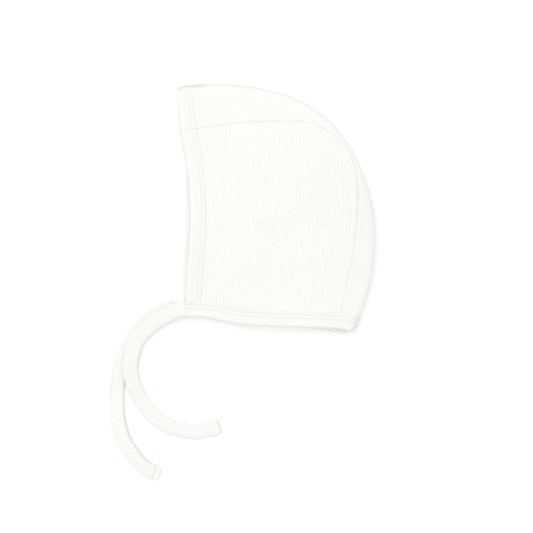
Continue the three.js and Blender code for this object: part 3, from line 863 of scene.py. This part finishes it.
# The seam from forehead to nape: how deep it pulls the cloth in, how high its allowance lifts the cloth
# beside it and how much that ripples, how far its two edges round off, and how much painted shade darkens
# them.
seamForm = {
    "along": [0, 0.2, 0.3, 0.42, 0.5, 0.55, 0.65, 0.7, 0.74, 0.8, 0.9, 1],
    "dip": np.array([0.4, 0.4, 0.25, 0.2, 0.45, 0.75, 0.75, 0.45, 0.3, 0.03, 0.05, 0.05]) * mm,
    "lift": np.array([0.1, 0.1, 0.08, 0.05, 0.05, 0.05, 0.05, 0.05, 0.08, 0.15, 0.2, 0.2]) * mm,
    "ripple": np.array([0.08, 0.06, 0.14, 0.28, 0.3, 0.24, 0.18, 0.14, 0.12, 0.1, 0.12, 0.16]) * mm,
    "sharp": [1, 1, 0.7, 0.5, 0.8, 1, 1, 0.7, 0.7, 0.2, 0.3, 0.4],
    "shade": [0, 0, 0, 0, 0, 0.1, 0.4, 0.3, 0.22, 0.1, 0, 0],
    "dipReach": 1 * mm,
    "liftFrom": 1.9 * mm,
    "liftReach": 1.2 * mm,
    "rippleLength": 2.6 * mm,
    "rippleShift": 9,  # radians from end to end of the seam
    "rippleReach": 4.5 * mm,
    "edgeReach": 0.3 * mm,
    "edgeLeast": 0.3,
    "shadeReach": 0.6 * mm,
}


def onSeam(part, along):
    return np.interp(along, seamForm["along"], seamForm[part])


def seamProfile(fromSeam, along):
    # How far the cloth is off its level beside the seam: a groove at the seam, a soft ridge next to it and
    # fading wrinkles along it.
    lift = onSeam("lift", along) * near(fromSeam - seamForm["liftFrom"], seamForm["liftReach"])
    wrinkles = np.cos(2 * np.pi * fromSeam / seamForm["rippleLength"] + seamForm["rippleShift"] * along)
    wrinkles = wrinkles * fade(fromSeam, seamForm["rippleReach"])
    groove = near(fromSeam, seamForm["dipReach"])
    return lift + onSeam("ripple", along) * wrinkles - onSeam("dip", along) * groove


def seamEdge(fromSeam, along):
    # The share of its thickness that the cloth keeps next to the seam.
    edge = quarterRound(fromSeam, seamForm["edgeReach"], seamForm["edgeLeast"])
    return 1 - (1 - edge) * onSeam("sharp", along)


def seamShade(fromSeam, along):
    # Painted shade in the seam's groove.
    return onSeam("shade", along) * near(fromSeam, seamForm["shadeReach"])


crownInset = clothInset / foldLength


def seamWith(trim, along):
    # The panel's side of the seam, this far from its middle.
    fold = alongCurve(foldCurve, along)
    across = alongCurve(seamCurve, along) - fold
    return fold + unit(across) * (np.linalg.norm(across, axis=-1, keepdims=True) + trim)


seamTop = seamWith(hairGap, bonnet["panelBackTop"] * fineSteps)
lowAlong = 1 - crownInset + (bonnet["panelBackBottom"] - 1 + crownInset) * fineSteps
seamLow = seamWith(hairGap, lowAlong)
neckInset = neckLine[:-1] + np.array([0, clothInset])
panelFoot = np.vstack([neckInset[neckInset[:, 0] < seamLow[0, 0]], seamLow])


def faceX(y):
    return valueOn(faceLine, 1, y, 0) + clothInset


footStart = np.array([faceX(neckInset[0, 1]), neckInset[0, 1]])
headStart = np.array([faceX(seamTop[0, 1]), seamTop[0, 1]])
footEnd, headEnd = seamLow[-1], seamTop[-1]


def panelPlan(s, t):
    # Between a foot on the neck edge and lower seam and a head on the upper seam, bowed to the face edge at
    # one side and to the back seam at the other. The bows fade with the distance from those sides.
    footX = footStart[0] + (footEnd[0] - footStart[0]) * s
    headX = headStart[0] + (headEnd[0] - headStart[0]) * s + bonnet["ribLean"] * 4 * s * (1 - s)
    footY = valueOn(panelFoot, 0, footX, 1)
    headY = valueOn(seamTop, 0, headX, 1)
    x = footX + (headX - footX) * t
    y = footY + (headY - footY) * t
    frontY = footStart[1] + (headStart[1] - footStart[1]) * t
    frontBow = faceX(frontY) - (footStart[0] + (headStart[0] - footStart[0]) * t)
    backAlong = bonnet["panelBackBottom"] + (bonnet["panelBackTop"] - bonnet["panelBackBottom"]) * t
    backBow = seamWith(hairGap, backAlong) - (footEnd + (headEnd - footEnd) * t[..., None])
    x = x + frontBow * (1 - s) ** 2 + backBow[..., 0] * s**4
    return x, y + backBow[..., 1] * s**4


def panelPiece(name, side, seed):
    # The panel's ribs wander and its face sags a little, puckers beside the bindings and gathers at the seam.
    s = np.linspace(0, 1, panel["ribs"] * panel["perRib"] + 1)[:, None]
    nearEnd = np.array(panel["nearEnd"])
    inner = np.linspace(panel["firstRow"], 1 - panel["firstRow"], panel["rows"])
    t = np.concatenate([nearEnd, inner, 1 - nearEnd[::-1]])[None, :]
    s, t = np.broadcast_arrays(s, t)
    x, y = panelPlan(s, t)
    middle = clothPoint(x, y, side)
    step = 0.2 * mm
    alongX = clothPoint(x + step, y, side) - clothPoint(x - step, y, side)
    alongY = clothPoint(x, y + step, side) - clothPoint(x, y - step, side)
    out = unit(np.cross(alongX, alongY)) * side
    fromSeam, alongSeam = nearestOnLine(seamLine, x, y)
    fromEdge = insideEdges(x, y) - bonnet["bindingWidth"]
    wander = waves(seed, *panel["wanderLengths"])
    sag = waves(seed + 1, *panel["sagLengths"])
    gather = waves(seed + 2, *panel["puckerLengths"])
    u = s * panel["ribs"] + panel["wander"] * wander(x, y)
    free = smooth(fromEdge / panel["sagRun"]) * smooth(fromSeam / panel["sagRun"])
    lift = panel["sag"] * sag(x, y) * free * (side > 0)
    puckers = panel["pucker"] * gather(x, y) * fade(np.abs(fromEdge), panel["puckerReach"])
    lift = lift + puckers * smooth(fromEdge / panel["puckerRun"])
    lift = lift + seamProfile(fromSeam, alongSeam)
    edge = seamEdge(fromSeam, alongSeam)
    ribHeight = panel["ribHeight"] * (1 + panel["ribUneven"] * gather(y, x))
    pressed = panel["pressed"]
    ribHeight = ribHeight * (pressed + (1 - pressed) * smooth(fromEdge / panel["pressedRun"]))
    v = y / knit["coursePitch"]
    # Painted shade beside the seam.
    return ribbedCloth(name, middle, out, u, v, ribHeight, edge, lift, seamShade(fromSeam, alongSeam))


for name, side, seed in (("side_panel_left", 1, 21), ("side_panel_right", -1, 31)):
    piece = finishPiece(panelPiece(name + "_knit", side, seed), knits["panel"], [name])


# Crown strip: folded along its length, with its ribs along it.
strip = {
    "steps": 170,
    "columns": 247,
    "sweepSteps": 301,
    "turnShare": 0.5,
    "ribHeight": 0.14 * mm,  # at the forehead, where the cloth is stretched most
    "backRibHeight": 0.2 * mm,
    "backRibs": (0.4, 0.25),  # shares of its length: the ribs change from one, over the other
    "ribUneven": 0.2,
    "stretched": 0.8,  # by the forehead fold its ribs lose this share of their height
    "gathered": 1.1,  # and by the forehead seam they get this share back
    "gatheredReach": 9 * mm,
    "seamRibs": 0.5,  # all along the seam they gain this much more
    "seamRibsReach": 5 * mm,
    "seamFollow": 0.6,  # its ribs follow the seam by this share, and the fold by the rest
    "wander": 0.06,  # of a rib
    "wanderLengths": (20 * mm, 60 * mm),
    "gatherLengths": (7 * mm, 14 * mm),
    "rim": 1,  # painted shade along the fold's outline, at the forehead, where the fold is thin
    "backRim": 0.36,
    "rimReach": 1.25 * mm,
    "backRimReach": 0.8 * mm,
    "backRims": (0.35, 0.25),
}


def between(part, share):
    # A setting of the strip that goes from its value at the forehead to the one at the back.
    backPart = "back" + part[0].upper() + part[1:]
    return strip[part] + (strip[backPart] - strip[part]) * share


def evenSweeps(along, count):
    # Sweeps that are evenly spread over the length of each section.
    fine = np.linspace(1, -1, strip["sweepSteps"])
    stations, sweeps = np.meshgrid(along, fine, indexing="ij")
    places = crownPoint(stations, sweeps, hairGap, strip["turnShare"])
    steps = np.linalg.norm(np.diff(places, axis=1), axis=-1)
    run = np.concatenate([np.zeros((len(along), 1)), np.cumsum(steps, axis=1)], axis=1)
    wanted = np.linspace(0, 1, count)
    return np.stack([np.interp(wanted * r[-1], r, fine) for r in run])


def crownPiece(name):
    # Sections from the upper seam over the fold to the lower one, from forehead to nape. The ribs run along
    # it, counted from the fold to both sides, and show least by the forehead fold.
    stations = crownInset + (1 - 2 * crownInset) * np.linspace(0, 1, strip["steps"])
    sweep = evenSweeps(stations, strip["columns"])
    along = np.broadcast_to(stations[:, None], sweep.shape)
    middle = crownPoint(along, sweep, hairGap, strip["turnShare"])
    out = unit(np.cross(np.gradient(middle, axis=0), np.gradient(middle, axis=1)))
    run = np.cumsum(np.linalg.norm(np.diff(middle, axis=1, prepend=middle[:, :1]), axis=-1), axis=1)
    fold = np.array([np.interp(0, -s, r) for s, r in zip(sweep, run)])[:, None]
    width = np.where(sweep > 0, fold, run[:, -1:] - fold)
    fromFold = np.abs(run - fold)
    fromSeam = width - fromFold
    wander = waves(41, *strip["wanderLengths"])(middle[..., 0], middle[..., 1])
    gather = waves(42, *strip["gatherLengths"])(middle[..., 0], middle[..., 1])
    u = (fromFold - strip["seamFollow"] * width) / knit["ribPitch"] + strip["wander"] * wander
    back = ramp(along, *strip["backRibs"])
    flatter = strip["stretched"] - strip["gathered"] * fade(fromSeam, strip["gatheredReach"])
    fuller = strip["seamRibs"] * fade(fromSeam, strip["seamRibsReach"])
    ribHeight = between("ribHeight", back) * (1 + strip["ribUneven"] * gather)
    ribHeight = ribHeight * (1 - (1 - back) * flatter + fuller)
    length = np.cumsum(np.linalg.norm(np.diff(middle, axis=0, prepend=middle[:1]), axis=-1), axis=0)
    # Painted shade along the fold's outline and beside the seam.
    inPlan = nearestOnLine(foldLine, middle[..., 0], middle[..., 1])[0]
    atBack = ramp(along, *strip["backRims"])
    rim = between("rim", atBack) * near(inPlan, between("rimReach", atBack)) + seamShade(fromSeam, along)
    edge, lift = seamEdge(fromSeam, along), seamProfile(fromSeam, along)
    return ribbedCloth(name, middle, out, u, length / knit["coursePitch"], ribHeight, edge, lift, rim)


piece = finishPiece(crownPiece("crown_strip_knit"), knits["crown"], ["crown_strip"])


# Bindings: bands folded over the edge, with their ribs across them and two stitch rows.
binding = {
    "perRib": 7,
    "fineSteps": 2400,
    "cornerGap": 0.1 * mm,  # between the two bindings at the front lower corner
    "nose": 2.2 * mm,  # how far in from the outer edge it is round
    "ribHeight": 0.07 * mm,
    "wander": 0.12 * mm,
    "wanderLengths": (12 * mm, 40 * mm),
    "pucker": 0.07 * mm,
    "puckerLengths": (4 * mm, 7 * mm),
    "rowReach": 0.42 * mm,
    "swell": 0.12 * mm,  # between the stitch rows
    "swellReach": 0.9 * mm,
    "shoulder": 6 * mm,  # it thins to its inner edge over this width
    "innerRound": 0.4 * mm,
    "innerLeast": 0.1,
    "taper": 12 * mm,  # the neck binding thins to the ties over this length
    "legPoints": 18,
    "legPower": 1.3,  # more gathers them at the inner edge
    "nosePoints": 9,
    "slotPoints": 6,
    # painted shade on the nose and along the stitch rows and inner edge
    "noseShade": 0.7,
    "noseShadeReach": 0.7 * mm,
    "rowShadeReach": 0.4 * mm,
    "foldLean": 0.25,  # the painted shade on the round of the fold is darkest where it faces up by 1 minus this or less
    "insideGlowRun": 1.2 * mm,
}
edges = {
    "face": {
        "curve": faceCurve,
        "from": (bonnet["bindingWidth"] + binding["cornerGap"]) / curveLength(faceCurve),
        "crownEnd": 0,
        "out": 1,
        "endHalf": bindingHalf,
        "rows": [2.3 * mm, 5.6 * mm],  # stitch rows, in from the inner edge
        "rowDepth": 0.32 * mm,
        "innerEdge": 0.42 * mm,  # what is left of its thickness there
        # painted shade along the stitch rows and inner edge, and over the fold
        "rowShade": 0.15,
        # painted light on the inside starts this far in
        "insideGlowFrom": 1.8 * mm,
        "foldShade": 1,
    },
    "neck": {
        "curve": neckCurve,
        "from": 0,
        "crownEnd": 1,
        "out": -1,
        "endHalf": onSurface,
        "rows": [2.1 * mm, 4.7 * mm],
        "rowDepth": 0.8 * mm,
        "innerEdge": 0.8 * mm,
        "rowShade": 0.28,
        "insideGlowFrom": 0.3 * mm,
        "foldShade": 0.4,
    },
}


def bandHeight(edge, fromInner, along, length):
    # The outer face over the middle of the cloth: full over the outer part, lower towards the inner edge, a
    # little raised between the stitch rows and sunk along them.
    toEnd = np.minimum(along, length - along)
    full = edge["endHalf"] + (bindingHalf - edge["endHalf"]) * smooth(toEnd / binding["taper"])
    wall = bonnet["cloth"] / 2
    height = wall + edge["innerEdge"]
    height = height + (full - height) * smooth(fromInner / binding["shoulder"])
    height = wall + (height - wall) * quarterRound(fromInner, binding["innerRound"], binding["innerLeast"])
    first, second = edge["rows"]
    height = height + binding["swell"] * near(fromInner - (first + second) / 2, binding["swellReach"])
    for row in edge["rows"]:
        height = height - edge["rowDepth"] * near(fromInner - row, binding["rowReach"])
    return height


def bindingSection():
    # The folded section: the way in from the outer edge, the share of the band's height, and whether it is
    # outside. It runs from the inner edge of the upper leg round the nose to that of the lower leg, and back
    # in the slot.
    width, nose = bonnet["bindingWidth"], binding["nose"]
    legX = width - (width - nose) * np.linspace(0, 1, binding["legPoints"]) ** binding["legPower"]
    angle = np.linspace(0, np.pi, binding["nosePoints"] + 2)[1:-1]
    outX = np.concatenate([legX, nose * (1 - np.sin(angle)), legX[::-1]])
    outShare = np.concatenate([np.ones_like(legX), np.cos(angle), -np.ones_like(legX)])
    slotX = np.linspace(width - hairGap, clothInset, binding["slotPoints"])
    slotShare = np.ones_like(slotX)
    isOuter = np.arange(len(outX) + 2 * len(slotX)) < len(outX)
    inX = np.concatenate([outX, slotX, slotX[::-1]])
    return inX, np.concatenate([outShare, -slotShare, slotShare]), isOuter


def edgeStations(edge):
    # Stations at even steps of a part of the rib pitch, along the middle of the band.
    fine = np.linspace(0, 1, binding["fineSteps"])
    run = runOf(edgePlace(edge, fine, np.full_like(fine, bonnet["bindingWidth"] / 2)))
    even = np.linspace(0, run[-1], int(run[-1] / knit["ribPitch"] * binding["perRib"]))
    return np.interp(even, run, fine), even, run[-1]


def surfaceAt(edge, share, inward):
    # Places on the middle of the cloth and the directions out of it.
    place = edgePlace(edge, share, inward)
    step = 0.1 * mm
    across = edgePlace(edge, share, inward + step) - edgePlace(edge, share, inward - step)
    ahead = np.gradient(place, axis=0)
    return place, unit(np.cross(across, ahead)) * edge["out"]


def bindingPiece(name, edge, seed):
    # The section carried along the edge. It swells outwards on each rib and has painted shade on its nose,
    # along its stitch rows and inner edge and where it turns over the fold, and painted light where it faces
    # the gap between the layers.
    share, along, length = edgeStations(edge)
    inX, heightShare, isOuter = bindingSection()
    isUpper, isUnder = isOuter * (heightShare > 0), isOuter * (heightShare < 0)
    place, out = surfaceAt(edge, share[:, None], inX[None, :])
    along = along[:, None]
    wobble = binding["wander"] * waves(seed, *binding["wanderLengths"])(along, 0)
    pucker = binding["pucker"] * waves(seed + 1, *binding["puckerLengths"])(along, inX[None, :])
    ribs = binding["ribHeight"] * (ridge(along / knit["ribPitch"]) - 1)
    fromInner = bonnet["bindingWidth"] - inX[None, :]
    height = bandHeight(edge, fromInner, along, length) + ribs + pucker
    offset = heightShare * np.where(isOuter, height, bonnet["cloth"] / 2)
    rings = place + out * offset[..., None]
    halfMillimetreIn = edgePlace(edge, share, np.full_like(share, 0.5 * mm))
    acrossIn = unit(halfMillimetreIn - edgePlace(edge, share, np.zeros_like(share)))
    noseShare = np.clip(1 - inX / binding["nose"], 0, 1) * isOuter
    rings = rings - acrossIn[:, None] * ((ribs + wobble) * noseShare)[..., None]
    rings[..., 2] = np.maximum(rings[..., 2], hairGap)
    uv = np.stack(np.broadcast_arrays(along / knit["ribPitch"], inX / knit["coursePitch"]), axis=-1)
    # Painted shade on the nose, along the stitch rows and inner edge, and where the band turns over the fold.
    rim = binding["noseShade"] * np.clip(1 - inX / binding["noseShadeReach"], 0, 1) * isOuter
    for row in edge["rows"] + [0]:
        rim = rim + edge["rowShade"] * near(fromInner[0] - row, binding["rowShadeReach"]) * isOuter
    rim = rim + edge["foldShade"] * smooth((1 - np.abs(out[..., 2])) / binding["foldLean"]) * isUpper
    # Painted light on the under leg's face, where it faces the gap between the layers.
    inside = ramp(inX, edge["insideGlowFrom"], binding["insideGlowRun"]) * isUnder
    inside = np.broadcast_to(inside, rings.shape[:2])
    print(name, "length", round(float(length), 4))
    return closedSkin(name, rings, uv, rim=np.minimum(rim, 1), inside=inside), share, length


def bindingStitches(name, edge, share, length):
    # A row of stitches on both faces of the band for each of its rows.
    rows = []
    along = np.linspace(0, length, len(share))
    for row in edge["rows"]:
        inward = np.full_like(share, bonnet["bindingWidth"] - row)
        place, out = surfaceAt(edge, share[:, None], inward[:, None])
        place, out = place[:, 0], out[:, 0]
        level = bandHeight(edge, np.full_like(share, row), along, length)[:, None]
        level = level - binding["ribHeight"] / 2 - stitch["radius"]
        for face in (1, -1):
            rows.append(stitchRow(place + out * face * level, out * face))
    return stitchPiece(name, rows)


for name, seed in (("face", 51), ("neck", 61)):
    edge = edges[name]
    piece, share, length = bindingPiece(name + "_binding_knit", edge, seed)
    finishPiece(piece, knits[name], [name + "_binding"])
    finishPiece(bindingStitches(name + "_binding_stitches", edge, share, length), thread)


# Floor, light and tone
studio = {
    "floorSize": 12,
    "floorLevel": -0.05 * mm,
    "horizon": 0.781,
    "zenith": 0.767,  # what the sky adds straight above
    "zenithPower": 2,
    "skyTint": (0.985, 0.99, 1, 1),
    "key": 40.6,
    "keyTint": (1, 0.985, 0.955),
    "keySize": 1.8,
    "keyPlace": (-1.2, 1.5, 2.5),
    "keyAim": (0, -0.03, 0),
    "white": 0.989,  # where the tone curve ends
    "tonePoints": ((0.2, 0.33), (0.456, 0.631), (0.679, 0.787), (0.871, 0.912)),
}
floorLook = {"Base Color": (0.97, 0.97, 0.97, 1), "Roughness": 1, "Specular IOR Level": 0}
floorMesh = bpy.data.meshes.new("floor")
reach, level = studio["floorSize"] / 2, studio["floorLevel"]
floorMesh.from_pydata(
    [(-reach, -reach, level), (reach, -reach, level), (reach, reach, level), (-reach, reach, level)],
    [],
    [(0, 1, 2, 3)],
)
floor = bpy.data.objects.new("floor", floorMesh)
bpy.context.scene.collection.objects.link(floor)
floorMesh.materials.append(newMaterial("pale_floor", floorLook)[0])

# The sky is brightest straight above, like a large soft box, so what faces sideways is a little darker.
sky = bpy.data.worlds.new("studio")
sky.use_nodes = True
skyTree = sky.node_tree
way = skyTree.nodes.new("ShaderNodeTexCoord")
wayParts = skyTree.nodes.new("ShaderNodeSeparateXYZ")
link(skyTree, way.outputs["Generated"], wayParts.inputs[0])
above = mathNode(skyTree, "MAXIMUM", wayParts.outputs[2], 0)
above = mathNode(skyTree, "POWER", above, studio["zenithPower"])
strength = mathNode(skyTree, "MULTIPLY_ADD", above, studio["zenith"], studio["horizon"])
skyTree.nodes["Background"].inputs["Color"].default_value = studio["skyTint"]
link(skyTree, strength, skyTree.nodes["Background"].inputs["Strength"])
bpy.context.scene.world = sky

keyData = bpy.data.lights.new("key_light", "AREA")
keyData.shape = "DISK"
keyData.size = studio["keySize"]
keyData.energy = studio["key"]
keyData.color = studio["keyTint"]
key = bpy.data.objects.new("key_light", keyData)
key.location = studio["keyPlace"]
aim = np.array(studio["keyAim"]) - np.array(key.location)
key.rotation_mode = "QUATERNION"
key.rotation_quaternion = Vector(aim).to_track_quat("-Z", "Y")
bpy.context.scene.collection.objects.link(key)

# A bright, soft tone as in a shop photo: the curve lifts what is shaded and leaves the whites as they are.
tone = bpy.context.scene.view_settings
tone.view_transform = "Standard"
tone.use_curve_mapping = True
tone.curve_mapping.extend = "EXTRAPOLATED"
toneCurve = tone.curve_mapping.curves[3]
toneCurve.points[1].location = (1, studio["white"])
for dark, lifted in studio["tonePoints"]:
    toneCurve.points.new(dark, lifted)
tone.curve_mapping.update()
print("studio set")
